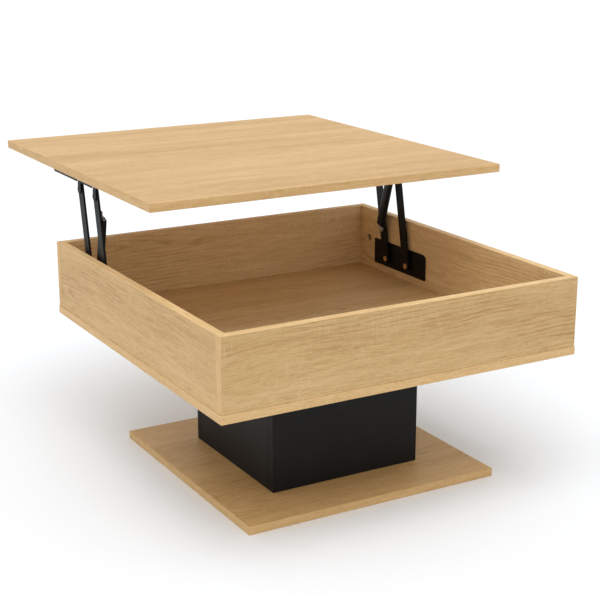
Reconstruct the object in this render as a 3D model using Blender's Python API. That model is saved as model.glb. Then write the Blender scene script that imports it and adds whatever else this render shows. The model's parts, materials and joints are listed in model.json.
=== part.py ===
"""Lift top coffee table: a square base, a square column and a storage tray, under a square
top that rises and moves out on two parallel-arm lift mechanisms.

The table is modelled with its top raised. +X runs along the wide front board, +Y points to
the side that the top moves out to, +Z is up. The origin is on the floor, under the column.
"""

import math

import bmesh
import bpy
from mathutils import Matrix, Vector

# Boards
BOARD = 0.015
TOP_WIDTH = 0.700
TRAY_WIDTH = 0.690
TRAY_FLOOR_WIDTH = 0.692
TRAY_FLOOR_Z = 0.245
RIM_Z = 0.386
BASE_WIDTH = 0.500
COLUMN_WIDTH = 0.300
BOARD_ARRIS = 0.0006
SEAM = 0.0003

# Lift: where the raised top stands against the closed one
TOP_GAP = 0.0015
LIFT = 0.1415
REACH = 0.240

# Lift mechanism, in the plane of a side board
ARM_LEAN = math.radians(11.5)
ARM_RADIUS = 0.0105
ARM_TAIL = 0.008
PIVOT_SPACING = 0.0732
REAR_PIVOT_Y = 0.2202
PIVOT_HEIGHT = 0.035
PLATE_FRONT_Y = 0.0885
PLATE_REAR_Y = 0.2725
PLATE_BELOW_PIVOT = 0.019
PLATE_ABOVE_PIVOT = 0.033
PLATE_CORNER = 0.003
PLATE_BIG_CORNER = 0.010
RAIL_REAR_Y = 0.3945
RAIL_FRONT_Y = 0.1755
RAIL_LEG = 0.016
RAIL_FLANGE = 0.020
EAR_RADIUS = 0.0078
EAR_SLOT = 0.010
RAIL_CORNER = 0.006

# Layers of the mechanism, inwards from the side board's inner face
STEEL = 0.002
ARM_THICKNESS = 0.004
PLATE_OUT = 0.3297
PLATE_IN = PLATE_OUT - STEEL
SPACER = 0.003
RAIL_OUT = PLATE_OUT - SPACER
RAIL_IN = RAIL_OUT - STEEL
ARM_OUT = RAIL_IN - SEAM
ARM_IN = ARM_OUT - ARM_THICKNESS
HEAD_OUT = ARM_IN - SEAM
HEAD_THICKNESS = 0.0012
SLEEVE_OUT = HEAD_OUT - HEAD_THICKNESS - 0.0005
SLEEVE_DEPTH = 0.0105
SLEEVE_HALF_WIDTH = 0.0105
SLEEVE_NECK_HALF = 0.007
SLEEVE_START = 0.018
SLEEVE_FLARE = 0.018
SLEEVE_WALL = 0.0007
EYE_RADIUS = 0.008

# Rivets, spring and fasteners
RIVET_RADIUS = 0.004
RIVET_HEAD_RADIUS = 0.0065
PIN_RADIUS = 0.0025
PIN_HEAD_RADIUS = 0.0045
HOLE_CLEARANCE = 0.0003
MOUTH = 0.0015
HEAD_SUNK = 0.0005
SPRING_RADIUS = 0.004
SPRING_LENGTH = 0.095
HOOK_LENGTH = 0.009
HOOK_HALF_WIDTH = 0.006
YOKE_LENGTH = 0.003
RIVET_INSET = 0.0002
RIGHT_PIN_SHARE = 0.30
LEFT_PIN_SHARE = 0.85
SCREW_RADIUS = 0.0019
SCREW_HEAD_RADIUS = 0.0038
SCREW_LENGTH = 0.0135
BASE_SCREW_RADIUS = 0.0025
BASE_SCREW_HEAD_RADIUS = 0.0045
BASE_SCREW_LENGTH = 0.040
CAM_RADIUS = 0.0075
CAM_DEPTH = 0.0122
CAM_INSET = 0.0335
CAM_BOLT_DEPTH = 0.0105
CAM_BEVEL = 0.0004

# Heights and places that follow
COLUMN_TOP_Z = TRAY_FLOOR_Z - SEAM
TRAY_SIDE_Z = TRAY_FLOOR_Z + BOARD + SEAM
TOP_UNDER_Z = RIM_Z + TOP_GAP + LIFT
PIVOT_Z = TRAY_FLOOR_Z + BOARD + PIVOT_HEIGHT
TRAY_HALF = TRAY_WIDTH / 2
TRAY_INNER = TRAY_HALF - BOARD
CAM_Y = TRAY_INNER - CAM_INSET
CAM_Z = (TRAY_SIDE_Z + RIM_Z) / 2
ARM_LENGTH = (REACH**2 + LIFT**2) / (2 * (REACH * math.sin(ARM_LEAN) + LIFT * math.cos(ARM_LEAN)))
ARM_RISE = Vector((0.0, ARM_LENGTH * math.sin(ARM_LEAN), ARM_LENGTH * math.cos(ARM_LEAN)))
BASE_PIVOTS = {
    "rear": Vector((0.0, REAR_PIVOT_Y, PIVOT_Z)),
    "front": Vector((0.0, REAR_PIVOT_Y - PIVOT_SPACING, PIVOT_Z)),
}
TOP_PIVOTS = {which: pivot + ARM_RISE for which, pivot in BASE_PIVOTS.items()}
SIDES = {"left": -1.0, "right": 1.0}
PLATE_SCREWS = ((-0.118, 0.008), (-0.037, 0.010), (0.036, 0.008))
RAIL_SCREWS_Y = (0.210, 0.300, 0.380)
RAIL_SCREW_X = 0.3150

OAK = ((0.62, 0.43, 0.23), 0.55, 0.0)
BLACK_BOARD = ((0.022, 0.022, 0.023), 0.6, 0.0)
BLACK_STEEL = ((0.015, 0.015, 0.016), 0.45, 0.4)
BLACK_SHEATH = ((0.013, 0.013, 0.014), 0.6, 0.0)
BRONZE = ((0.60, 0.36, 0.17), 0.35, 1.0)
ZINC = ((0.62, 0.62, 0.63), 0.3, 1.0)


def clear_scene():
    for old in list(bpy.data.objects):
        bpy.data.objects.remove(old, do_unlink=True)


def empty(name, place, parent=None):
    """An empty at a world place; empties are never turned, so places add up."""
    holder = bpy.data.objects.new(name, None)
    holder.empty_display_size = 0.02
    bpy.context.collection.objects.link(holder)
    holder.parent = parent
    holder.location = place - world_place(parent)
    return holder


def world_place(holder):
    place = Vector((0.0, 0.0, 0.0))
    while holder is not None:
        place += holder.location
        holder = holder.parent
    return place


def principled(name, look):
    colour, roughness, metallic = look
    material = bpy.data.materials.new(name)
    material.use_nodes = True
    shader = material.node_tree.nodes["Principled BSDF"]
    shader.inputs["Base Color"].default_value = (*colour, 1.0)
    shader.inputs["Roughness"].default_value = roughness
    shader.inputs["Metallic"].default_value = metallic
    material.diffuse_color = (*colour, 1.0)
    return material


def make_object(name, bm, parent, look=None, origin=None, smooth=False):
    """Turns a bmesh in world places into an object whose origin is at `origin`."""
    bmesh.ops.recalc_face_normals(bm, faces=bm.faces)
    origin = world_place(parent) if origin is None else origin
    bmesh.ops.translate(bm, vec=-origin, verts=bm.verts)
    mesh = bpy.data.meshes.new(name)
    bm.to_mesh(mesh)
    bm.free()
    made = bpy.data.objects.new(name, mesh)
    bpy.context.collection.objects.link(made)
    made.parent = parent
    made.location = origin - world_place(parent)
    if look is not None:
        mesh.materials.append(principled(name + "_finish", look))
    if smooth:
        mesh.shade_smooth()
        mesh.set_sharp_from_angle(angle=math.radians(35))
    return made


def add_box(bm, low, high):
    low, high = Vector(low), Vector(high)
    size = Matrix.Diagonal((*(high - low), 1.0))
    bmesh.ops.create_cube(bm, size=1.0, matrix=Matrix.Translation((low + high) / 2) @ size)


def add_prism(bm, outline, x_from, x_to):
    """Extrudes a closed outline of (y, z) points from one x to another."""
    face = bm.faces.new([bm.verts.new((x_from, y, z)) for y, z in outline])
    pulled = bmesh.ops.extrude_face_region(bm, geom=[face])
    moved = [part for part in pulled["geom"] if isinstance(part, bmesh.types.BMVert)]
    bmesh.ops.translate(bm, vec=(x_to - x_from, 0.0, 0.0), verts=moved)


def add_turned(bm, profile, start, direction, steps=20):
    """Spins a profile of (distance along the axis, radius) points round its axis."""
    turn = Vector((0.0, 0.0, 1.0)).rotation_difference(Vector(direction)).to_matrix().to_4x4()
    place = Matrix.Translation(start) @ turn
    ring = [bm.verts.new((radius, 0.0, along)) for along, radius in profile]
    edges = [bm.edges.new(pair) for pair in zip(ring, ring[1:])]
    spun = bmesh.ops.spin(bm, geom=ring + edges, cent=(0, 0, 0), axis=(0, 0, 1),
                          angle=math.tau, steps=steps, use_merge=True)
    new = {v for v in spun["geom_last"] if isinstance(v, bmesh.types.BMVert)} | set(ring)
    linked = connected(new)
    bmesh.ops.transform(bm, matrix=place, verts=linked)
    bmesh.ops.remove_doubles(bm, verts=linked, dist=1e-6)


def connected(seeds):
    """Every vertex that edges join to the seeds."""
    found = set(seeds)
    waiting = list(seeds)
    while waiting:
        vert = waiting.pop()
        for edge in vert.link_edges:
            other = edge.other_vert(vert)
            if other not in found:
                found.add(other)
                waiting.append(other)
    return list(found)


def arc(centre, radius, start_deg, end_deg, steps):
    """Points (y, z) along an arc; angles run from +Y towards +Z."""
    angles = [math.radians(start_deg + (end_deg - start_deg) * k / steps) for k in range(steps + 1)]
    return [(centre[0] + radius * math.cos(a), centre[1] + radius * math.sin(a)) for a in angles]


def rounded_bar(start, end, radius, steps=10):
    """Outline of a bar with round ends between two (y, z) points."""
    lean = math.degrees(math.atan2(end[1] - start[1], end[0] - start[0]))
    return arc(end, radius, lean - 90, lean + 90, steps) + arc(start, radius, lean + 90, lean + 270, steps)


def add_bevel(target, width, segments=1):
    bevel = target.modifiers.new("arris", "BEVEL")
    bevel.width = width
    bevel.segments = segments
    bevel.limit_method = "ANGLE"


def add_boolean(target, tool, operation):
    boolean = target.modifiers.new(operation.lower() + "_" + tool.name, "BOOLEAN")
    boolean.object = tool
    boolean.operation = operation
    boolean.solver = "EXACT"


def make_tool(name, bm, parent):
    """A body that only cuts or joins another and isn't a piece itself."""
    tool = make_object(name, bm, parent)
    tool.hide_render = True
    tool.display_type = "WIRE"
    return tool


def make_board(name, parent, low, high, look):
    bm = bmesh.new()
    add_box(bm, low, high)
    board = make_object(name, bm, parent, look)
    add_bevel(board, BOARD_ARRIS)
    return board


def screw_profile(radius, head_radius, length):
    """A countersunk screw, from its head's face to its tip."""
    neck = head_radius - radius
    return [(0.0, 0.0), (0.0, head_radius), (neck, radius), (length - radius, radius), (length, 0.0)]


def screw_hole(radius, head_radius, length):
    """The hole that a countersunk screw needs, open above the face."""
    room = HOLE_CLEARANCE
    return [
        (-MOUTH, 0.0),
        (-MOUTH, head_radius + room),
        (0.0, head_radius + room),
        (head_radius - radius, radius + room),
        (length + room, radius + room),
        (length + room, 0.0),
    ]


def straight_hole(radius, depth):
    """A round cutter from just outside a face to a depth inside it."""
    return [(-MOUTH, 0.0), (-MOUTH, radius), (depth, radius), (depth, 0.0)]


def base_and_column(table):
    """The base board, the four column boards and the screws that hold them together."""
    half = BASE_WIDTH / 2
    base = make_board("base_board", table, (-half, -half, 0.0), (half, half, BOARD), OAK)
    outer = COLUMN_WIDTH / 2
    inner = outer - BOARD
    low, high = BOARD + SEAM, COLUMN_TOP_Z
    gap = inner - SEAM
    boards = {
        "column_front": ((-outer, -outer, low), (outer, -inner, high)),
        "column_back": ((-outer, inner, low), (outer, outer, high)),
        "column_left": ((-outer, -gap, low), (-inner, gap, high)),
        "column_right": ((inner, -gap, low), (outer, gap, high)),
    }
    middle = (outer + inner) / 2
    spots = {
        "column_front": (0.0, -middle),
        "column_back": (0.0, middle),
        "column_left": (-middle, 0.0),
        "column_right": (middle, 0.0),
    }
    base_cuts = bmesh.new()
    hole = screw_hole(BASE_SCREW_RADIUS, BASE_SCREW_HEAD_RADIUS, BASE_SCREW_LENGTH)
    for name, (corner_low, corner_high) in boards.items():
        board = make_board(name, table, corner_low, corner_high, BLACK_BOARD)
        under = Vector((*spots[name], HEAD_SUNK))
        cut = bmesh.new()
        add_turned(cut, hole, under, (0, 0, 1), 16)
        add_boolean(board, make_tool(name + "_bore", cut, table), "DIFFERENCE")
        add_turned(base_cuts, hole, under, (0, 0, 1), 16)
        bm = bmesh.new()
        profile = screw_profile(BASE_SCREW_RADIUS, BASE_SCREW_HEAD_RADIUS, BASE_SCREW_LENGTH)
        add_turned(bm, profile, under, (0, 0, 1), 16)
        make_object(name.replace("column", "base_screw"), bm, table, ZINC, under, True)
    add_boolean(base, make_tool("base_bores", base_cuts, table), "DIFFERENCE")


def tray(table):
    """The storage tray: a floor and four boards, joined at the corners by cam locks."""
    half = TRAY_FLOOR_WIDTH / 2
    make_board("tray_floor", table, (-half, -half, TRAY_FLOOR_Z), (half, half, TRAY_FLOOR_Z + BOARD), OAK)
    low, high = TRAY_SIDE_Z, RIM_Z
    for name, direction in (("front", -1.0), ("back", 1.0)):
        faces = sorted((direction * TRAY_INNER, direction * TRAY_HALF))
        corners = (-TRAY_HALF, faces[0], low), (TRAY_HALF, faces[1], high)
        board = make_board("tray_" + name, table, *corners, OAK)
        cuts = bmesh.new()
        for sign in SIDES.values():
            face = Vector((sign * (TRAY_INNER + BOARD / 2), direction * TRAY_INNER, CAM_Z))
            bolt_hole = straight_hole(PIN_RADIUS + HOLE_CLEARANCE, CAM_BOLT_DEPTH + HOLE_CLEARANCE)
            add_turned(cuts, bolt_hole, face, (0, direction, 0), 16)
        add_boolean(board, make_tool("tray_%s_bores" % name, cuts, table), "DIFFERENCE")
    for name, sign in SIDES.items():
        faces = sorted((sign * TRAY_INNER, sign * TRAY_HALF))
        end = TRAY_INNER - SEAM
        board = make_board("tray_" + name, table, (faces[0], -end, low), (faces[1], end, high), OAK)
        pockets = bmesh.new()
        bolt_ways = bmesh.new()
        for direction in (-1.0, 1.0):
            cam_lock(table, name, sign, direction, pockets, bolt_ways)
        hole = screw_hole(SCREW_RADIUS, SCREW_HEAD_RADIUS, SCREW_LENGTH)
        for place in plate_screw_places(sign):
            add_turned(pockets, hole, place, (sign, 0, 0), 16)
        add_boolean(board, make_tool("tray_%s_pockets" % name, pockets, table), "DIFFERENCE")
        add_boolean(board, make_tool("tray_%s_bolt_ways" % name, bolt_ways, table), "DIFFERENCE")


def cam_lock(table, name, sign, direction, pockets, bolt_ways):
    """One corner's cam and its bolt, with the pocket and the way that they need in the board."""
    corner = "%s_%s" % (name, "back" if direction > 0 else "front")
    centre = Vector((sign * TRAY_INNER, direction * CAM_Y, CAM_Z))
    pocket = straight_hole(CAM_RADIUS + HOLE_CLEARANCE, CAM_DEPTH + SEAM)
    add_turned(pockets, pocket, centre, (sign, 0, 0), 24)
    bm = bmesh.new()
    sunk = CAM_BEVEL / 2
    profile = [(sunk, 0.0), (sunk, CAM_RADIUS - CAM_BEVEL), (sunk + CAM_BEVEL, CAM_RADIUS),
               (CAM_DEPTH, CAM_RADIUS), (CAM_DEPTH, 0.0)]
    add_turned(bm, profile, centre, (sign, 0, 0), 24)
    make_object("cam_" + corner, bm, table, ZINC, centre, True)
    middle_x = sign * (TRAY_INNER + BOARD / 2)
    bolt_end = Vector((middle_x, direction * (TRAY_INNER + CAM_BOLT_DEPTH), CAM_Z))
    length = TRAY_INNER + CAM_BOLT_DEPTH - (CAM_Y + CAM_RADIUS + SEAM)
    bm = bmesh.new()
    bolt = [(0.0, 0.0), (0.0, PIN_RADIUS), (length, PIN_RADIUS), (length, 0.0)]
    add_turned(bm, bolt, bolt_end, (0, -direction, 0), 16)
    make_object("cam_bolt_" + corner, bm, table, ZINC, bolt_end, True)
    way_start = Vector((middle_x, direction * (TRAY_INNER - SEAM), CAM_Z))
    depth = TRAY_INNER - SEAM - CAM_Y
    way = straight_hole(PIN_RADIUS + HOLE_CLEARANCE, depth)
    add_turned(bolt_ways, way, way_start, (0, -direction, 0), 16)


def tabletop(top):
    half = TOP_WIDTH / 2
    low = (-half, REACH - half, TOP_UNDER_Z)
    high = (half, REACH + half, TOP_UNDER_Z + BOARD)
    board = make_board("tabletop", top, low, high, OAK)
    cuts = bmesh.new()
    hole = screw_hole(SCREW_RADIUS, SCREW_HEAD_RADIUS, SCREW_LENGTH)
    for sign in SIDES.values():
        for place in rail_screw_places(sign):
            add_turned(cuts, hole, place, (0, 0, 1), 16)
    add_boolean(board, make_tool("tabletop_bores", cuts, top), "DIFFERENCE")


def plate_screw_places(sign):
    pivot = BASE_PIVOTS["rear"]
    face = sign * (PLATE_IN + SEAM / 3)
    return [Vector((face, pivot.y + dy, pivot.z + dz)) for dy, dz in PLATE_SCREWS]


def rail_screw_places(sign):
    under = TOP_UNDER_Z - SEAM - STEEL + SEAM / 3
    return [Vector((sign * RAIL_SCREW_X, y, under)) for y in RAIL_SCREWS_Y]


def mounting_plate(table, name, sign):
    """The steel plate on the side board that carries the two lower pivots."""
    low, high = PIVOT_Z - PLATE_BELOW_PIVOT, PIVOT_Z + PLATE_ABOVE_PIVOT
    front, rear = PLATE_FRONT_Y + PLATE_CORNER, PLATE_REAR_Y - PLATE_CORNER
    outline = [
        *arc((rear, high - PLATE_CORNER), PLATE_CORNER, 0, 90, 4),
        *arc((PLATE_FRONT_Y + PLATE_BIG_CORNER, high - PLATE_BIG_CORNER), PLATE_BIG_CORNER, 90, 180, 6),
        *arc((front, low + PLATE_CORNER), PLATE_CORNER, 180, 270, 4),
        *arc((rear, low + PLATE_CORNER), PLATE_CORNER, 270, 360, 4),
    ]
    bm = bmesh.new()
    add_prism(bm, outline, sign * PLATE_IN, sign * PLATE_OUT)
    plate = make_object(name + "_mounting_plate", bm, table, BLACK_STEEL)
    cuts = bmesh.new()
    for pivot in BASE_PIVOTS.values():
        start = Vector((sign * PLATE_IN, pivot.y, pivot.z))
        add_turned(cuts, straight_hole(RIVET_RADIUS + HOLE_CLEARANCE, 2 * STEEL), start, (sign, 0, 0), 24)
    hole = screw_hole(SCREW_RADIUS, SCREW_HEAD_RADIUS, SCREW_LENGTH)
    for number, place in enumerate(plate_screw_places(sign), 1):
        add_turned(cuts, hole, place, (sign, 0, 0), 16)
        wood_screw("%s_plate_screw_%d" % (name, number), table, place, (sign, 0, 0))
    add_boolean(plate, make_tool(name + "_plate_holes", cuts, table), "DIFFERENCE")


def wood_screw(name, parent, place, direction):
    bm = bmesh.new()
    add_turned(bm, screw_profile(SCREW_RADIUS, SCREW_HEAD_RADIUS, SCREW_LENGTH), place, direction, 16)
    make_object(name, bm, parent, BLACK_STEEL, place, True)


def lift_arm(holder, name, which, sign, pin_share=None):
    """One flat arm from a lower pivot to just past an upper one, with a spring pin if it has one."""
    foot, head = BASE_PIVOTS[which], TOP_PIVOTS[which]
    bm = bmesh.new()
    tail = head + (head - foot).normalized() * ARM_TAIL
    outline = rounded_bar((foot.y, foot.z), (tail.y, tail.z), ARM_RADIUS)
    add_prism(bm, outline, sign * ARM_IN, sign * ARM_OUT)
    arm = make_object("%s_%s_arm" % (name, which), bm, holder, BLACK_STEEL)
    cuts = bmesh.new()
    eye = straight_hole(RIVET_RADIUS + HOLE_CLEARANCE, 2 * ARM_THICKNESS)
    for pivot in (foot, head):
        add_turned(cuts, eye, Vector((sign * ARM_IN, pivot.y, pivot.z)), (sign, 0, 0), 24)
    if pin_share is not None:
        seat = foot.lerp(head, pin_share)
        seat.x = sign * ARM_IN
        pin_hole = straight_hole(PIN_RADIUS + HOLE_CLEARANCE, 2 * ARM_THICKNESS)
        add_turned(cuts, pin_hole, seat, (sign, 0, 0), 16)
        bm = bmesh.new()
        shank = ARM_THICKNESS + SEAM
        profile = [(0.0, 0.0), (0.0, PIN_RADIUS), (shank, PIN_RADIUS), (shank, PIN_HEAD_RADIUS),
                   (shank + HEAD_THICKNESS, PIN_HEAD_RADIUS), (shank + HEAD_THICKNESS, 0.0)]
        start = Vector((sign * (ARM_OUT - SEAM / 2), seat.y, seat.z))
        add_turned(bm, profile, start, (-sign, 0, 0), 20)
        make_object(name + "_spring_pin", bm, holder, ZINC, start, True)
    add_boolean(arm, make_tool("%s_%s_arm_holes" % (name, which), cuts, holder), "DIFFERENCE")


def ear_outline(pivot, leg_low, leg_high):
    """One ear of the rail round its pivot, with the slot behind its neck; points run from -Y to +Y."""
    slot_end = pivot.y + EAR_SLOT
    return [
        (pivot.y - EAR_RADIUS, leg_low),
        *arc((pivot.y, pivot.z), EAR_RADIUS, 180, 405, 14),
        (pivot.y, pivot.z + EAR_RADIUS + 2 * SEAM),
        (pivot.y, leg_high),
        (slot_end, leg_high),
        (slot_end, leg_low),
    ]


def top_rail(top, name, sign):
    """The angle under the top: a flange screwed to the board and a leg with two ears."""
    over = TOP_UNDER_Z - SEAM
    leg_low = over - RAIL_LEG
    slot_top = over - 2 * STEEL
    outline = [
        (RAIL_REAR_Y, over),
        (RAIL_FRONT_Y, over),
        (RAIL_FRONT_Y, leg_low + RAIL_CORNER),
        (RAIL_FRONT_Y + RAIL_CORNER / 2, leg_low),
        *ear_outline(TOP_PIVOTS["front"], leg_low, slot_top),
        *ear_outline(TOP_PIVOTS["rear"], leg_low, slot_top),
        (RAIL_REAR_Y - RAIL_CORNER, leg_low),
        (RAIL_REAR_Y, leg_low + RAIL_CORNER),
    ]
    bm = bmesh.new()
    add_prism(bm, outline, sign * RAIL_IN, sign * RAIL_OUT)
    rail = make_object(name + "_top_rail", bm, top, BLACK_STEEL)
    bm = bmesh.new()
    faces = sorted((sign * (RAIL_OUT - RAIL_FLANGE), sign * (RAIL_OUT - STEEL / 2)))
    add_box(bm, (faces[0], RAIL_FRONT_Y, over - STEEL), (faces[1], RAIL_REAR_Y, over))
    add_boolean(rail, make_tool(name + "_rail_flange", bm, top), "UNION")
    cuts = bmesh.new()
    for pivot in TOP_PIVOTS.values():
        start = Vector((sign * RAIL_IN, pivot.y, pivot.z))
        add_turned(cuts, straight_hole(RIVET_RADIUS + HOLE_CLEARANCE, 2 * STEEL), start, (sign, 0, 0), 24)
    hole = screw_hole(SCREW_RADIUS, SCREW_HEAD_RADIUS, SCREW_LENGTH)
    for number, place in enumerate(rail_screw_places(sign), 1):
        add_turned(cuts, hole, place, (0, 0, 1), 16)
        wood_screw("%s_rail_screw_%d" % (name, number), top, place, (0, 0, 1))
    add_boolean(rail, make_tool(name + "_rail_holes", cuts, top), "DIFFERENCE")


def pivot_rivet(parent, name, pivot, sign, spaced, holds_sleeve):
    """A rivet from the plate or the rail through an arm, and on through the sleeve's eye.

    One that is spaced has a shoulder between the plate and the arm.
    """
    outer = (PLATE_OUT if spaced else RAIL_OUT) - RIVET_INSET
    profile = [(0.0, 0.0), (0.0, RIVET_RADIUS)]
    if spaced:
        shoulder = (outer - PLATE_IN + SEAM, outer - ARM_OUT - SEAM)
        profile += [(shoulder[0], RIVET_RADIUS), (shoulder[0], RIVET_HEAD_RADIUS),
                    (shoulder[1], RIVET_HEAD_RADIUS), (shoulder[1], RIVET_RADIUS)]
    grip = outer - HEAD_OUT
    profile += [(grip, RIVET_RADIUS), (grip, RIVET_HEAD_RADIUS)]
    along = grip + HEAD_THICKNESS
    if holds_sleeve:
        along = outer - SLEEVE_OUT - SEAM
        eye_end = along + STEEL + 2 * SEAM
        profile += [(along, RIVET_HEAD_RADIUS), (along, RIVET_RADIUS), (eye_end, RIVET_RADIUS),
                    (eye_end, RIVET_HEAD_RADIUS)]
        along = eye_end + HEAD_THICKNESS
    rim = HEAD_THICKNESS / 3
    profile += [(along - rim, RIVET_HEAD_RADIUS), (along, RIVET_HEAD_RADIUS - rim), (along, 0.0)]
    start = Vector((sign * outer, pivot.y, pivot.z))
    bm = bmesh.new()
    add_turned(bm, profile, start, (-sign, 0, 0), 24)
    make_object(name, bm, parent, BRONZE, start, True)


def spring_unit(parent, name, sign, anchor, pin):
    """The sleeve on its pivot and the spring that it guides, at rest, towards the arm's pin.

    Both are built upright, along their own Z, and turned about X to point from anchor to pin.
    """
    run = pin - anchor
    turn = math.atan2(run.z, run.y) - math.pi / 2
    reach = run.length
    hinge = empty(name + "_sleeve_pivot", anchor, parent)
    near, far = SLEEVE_START, reach - HOOK_LENGTH - 0.002
    outer, inner = sign * SLEEVE_OUT, sign * (SLEEVE_OUT - SLEEVE_DEPTH)
    half = SLEEVE_HALF_WIDTH
    bm = bmesh.new()
    flare = near + SLEEVE_FLARE
    casing = [(-SLEEVE_NECK_HALF, near), (SLEEVE_NECK_HALF, near), (half, flare), (half, far), (-half, far),
              (-half, flare)]
    add_prism(bm, casing, inner, outer)
    sleeve = make_object(name + "_spring_sleeve", bm, hinge, BLACK_SHEATH, Vector((0, 0, 0)))
    sleeve.location = (0, 0, 0)
    sleeve.rotation_euler = (turn, 0, 0)
    add_bevel(sleeve, STEEL, 2)
    tongue = bmesh.new()
    eye_plate = rounded_bar((0.0, 0.0), (0.0, near + EYE_RADIUS), EYE_RADIUS)
    add_prism(tongue, eye_plate, sign * (SLEEVE_OUT - STEEL), outer)
    add_boolean(sleeve, turned_tool(name + "_sleeve_tongue", tongue, sleeve), "UNION")
    cuts = bmesh.new()
    wall = SLEEVE_WALL
    faces = sorted((sign * (SLEEVE_OUT - wall), sign * (SLEEVE_OUT - SLEEVE_DEPTH + wall)))
    add_box(cuts, (faces[0], wall - half, flare + STEEL), (faces[1], half - wall, far + STEEL))
    eye = straight_hole(RIVET_RADIUS + HOLE_CLEARANCE, 2 * STEEL)
    add_turned(cuts, eye, Vector((sign * (SLEEVE_OUT - STEEL), 0, 0)), (sign, 0, 0), 24)
    add_boolean(sleeve, turned_tool(name + "_sleeve_bore", cuts, sleeve), "DIFFERENCE")
    tension_spring(hinge, name, sign, turn, reach)


def turned_tool(name, bm, owner):
    """A tool in its owner's own turned frame."""
    tool = make_tool(name, bm, None)
    tool.parent = owner
    return tool


def tension_spring(hinge, name, sign, turn, reach):
    """Two coils side by side, a yoke across their ends and a hook plate that reaches the pin."""
    middle = sign * (SLEEVE_OUT - SLEEVE_DEPTH / 2)
    coil_end = reach - HOOK_LENGTH
    offset = SPRING_RADIUS + RIVET_INSET
    bm = bmesh.new()
    coil = [(0.0, 0.0), (0.0, SPRING_RADIUS), (SPRING_LENGTH, SPRING_RADIUS), (SPRING_LENGTH, 0.0)]
    add_turned(bm, coil, Vector((middle, offset, coil_end - SPRING_LENGTH)), (0, 0, 1), 12)
    spring = make_object(name + "_tension_spring", bm, hinge, ZINC, Vector((0, 0, 0)))
    spring.location = (0, 0, 0)
    spring.rotation_euler = (turn, 0, 0)
    second = bmesh.new()
    add_turned(second, coil, Vector((middle, -offset, coil_end - SPRING_LENGTH)), (0, 0, 1), 12)
    add_boolean(spring, turned_tool(name + "_second_coil", second, spring), "UNION")
    yoke = bmesh.new()
    wide = 2 * SPRING_RADIUS
    faces = sorted((middle - sign * STEEL / 2, sign * (SLEEVE_OUT - STEEL / 4)))
    add_box(yoke, (faces[0], -wide, coil_end - STEEL / 2), (faces[1], wide, coil_end + YOKE_LENGTH))
    add_boolean(spring, turned_tool(name + "_yoke", yoke, spring), "UNION")
    hook = bmesh.new()
    tip = rounded_bar((0.0, coil_end + HOOK_HALF_WIDTH), (0.0, reach), HOOK_HALF_WIDTH)
    add_prism(hook, tip, sign * (SLEEVE_OUT - STEEL), sign * SLEEVE_OUT)
    add_boolean(spring, turned_tool(name + "_hook", hook, spring), "UNION")


def lift_mechanism(table, top, name, sign):
    """Everything on one side: plate, arms, rail, rivets and the spring unit."""
    mounting_plate(table, name, sign)
    top_rail(top, name, sign)
    pin_arm = "rear" if name == "right" else "front"
    share = RIGHT_PIN_SHARE if name == "right" else LEFT_PIN_SHARE
    for which in ("rear", "front"):
        holder = empty("%s_%s_arm_pivot" % (name, which), BASE_PIVOTS[which], table)
        lift_arm(holder, name, which, sign, share if which == pin_arm else None)
        low_sleeve = name == "left" and which == "rear"
        high_sleeve = name == "right" and which == "front"
        pivot_rivet(table, "%s_%s_lower_rivet" % (name, which), BASE_PIVOTS[which], sign, True, low_sleeve)
        pivot_rivet(top, "%s_%s_upper_rivet" % (name, which), TOP_PIVOTS[which], sign, False, high_sleeve)
    pin = BASE_PIVOTS[pin_arm].lerp(TOP_PIVOTS[pin_arm], share)
    if name == "right":
        spring_unit(top, name, sign, TOP_PIVOTS["front"], pin)
    else:
        spring_unit(table, name, sign, BASE_PIVOTS["rear"], pin)


def build_table():
    clear_scene()
    table = empty("table_frame", Vector((0.0, 0.0, 0.0)))
    top = empty("top_pivot", TOP_PIVOTS["rear"], table)
    base_and_column(table)
    tray(table)
    tabletop(top)
    for name, sign in SIDES.items():
        lift_mechanism(table, top, name, sign)
    bpy.context.view_layer.update()


build_table()
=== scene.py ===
"""Lift top coffee table: materials, fine shapes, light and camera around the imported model."""

import json
import math

import bmesh
import bpy
from mathutils import Matrix, Vector


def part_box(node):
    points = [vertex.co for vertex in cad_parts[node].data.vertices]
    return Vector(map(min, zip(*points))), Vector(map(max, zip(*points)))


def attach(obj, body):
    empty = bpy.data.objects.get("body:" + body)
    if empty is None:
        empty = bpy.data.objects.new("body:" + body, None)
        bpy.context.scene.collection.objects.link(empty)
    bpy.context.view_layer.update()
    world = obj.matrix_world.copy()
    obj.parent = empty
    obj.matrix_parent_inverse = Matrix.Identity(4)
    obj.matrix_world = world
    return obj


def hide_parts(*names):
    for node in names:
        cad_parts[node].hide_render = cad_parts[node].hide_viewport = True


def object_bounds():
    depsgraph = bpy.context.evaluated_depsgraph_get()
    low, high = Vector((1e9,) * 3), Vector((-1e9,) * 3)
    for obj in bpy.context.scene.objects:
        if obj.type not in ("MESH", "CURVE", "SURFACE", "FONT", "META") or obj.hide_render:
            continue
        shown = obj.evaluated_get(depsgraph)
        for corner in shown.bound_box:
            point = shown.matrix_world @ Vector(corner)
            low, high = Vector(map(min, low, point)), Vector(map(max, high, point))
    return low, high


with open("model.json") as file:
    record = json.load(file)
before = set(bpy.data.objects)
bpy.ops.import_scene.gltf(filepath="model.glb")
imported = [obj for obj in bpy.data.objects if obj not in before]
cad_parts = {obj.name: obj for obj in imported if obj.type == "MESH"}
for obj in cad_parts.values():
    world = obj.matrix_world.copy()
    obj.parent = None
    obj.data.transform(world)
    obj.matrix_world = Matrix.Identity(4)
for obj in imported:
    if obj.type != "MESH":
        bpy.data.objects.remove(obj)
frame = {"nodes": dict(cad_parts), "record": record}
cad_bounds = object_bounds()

SIDES = {"left": -1.0, "right": 1.0}
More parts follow.
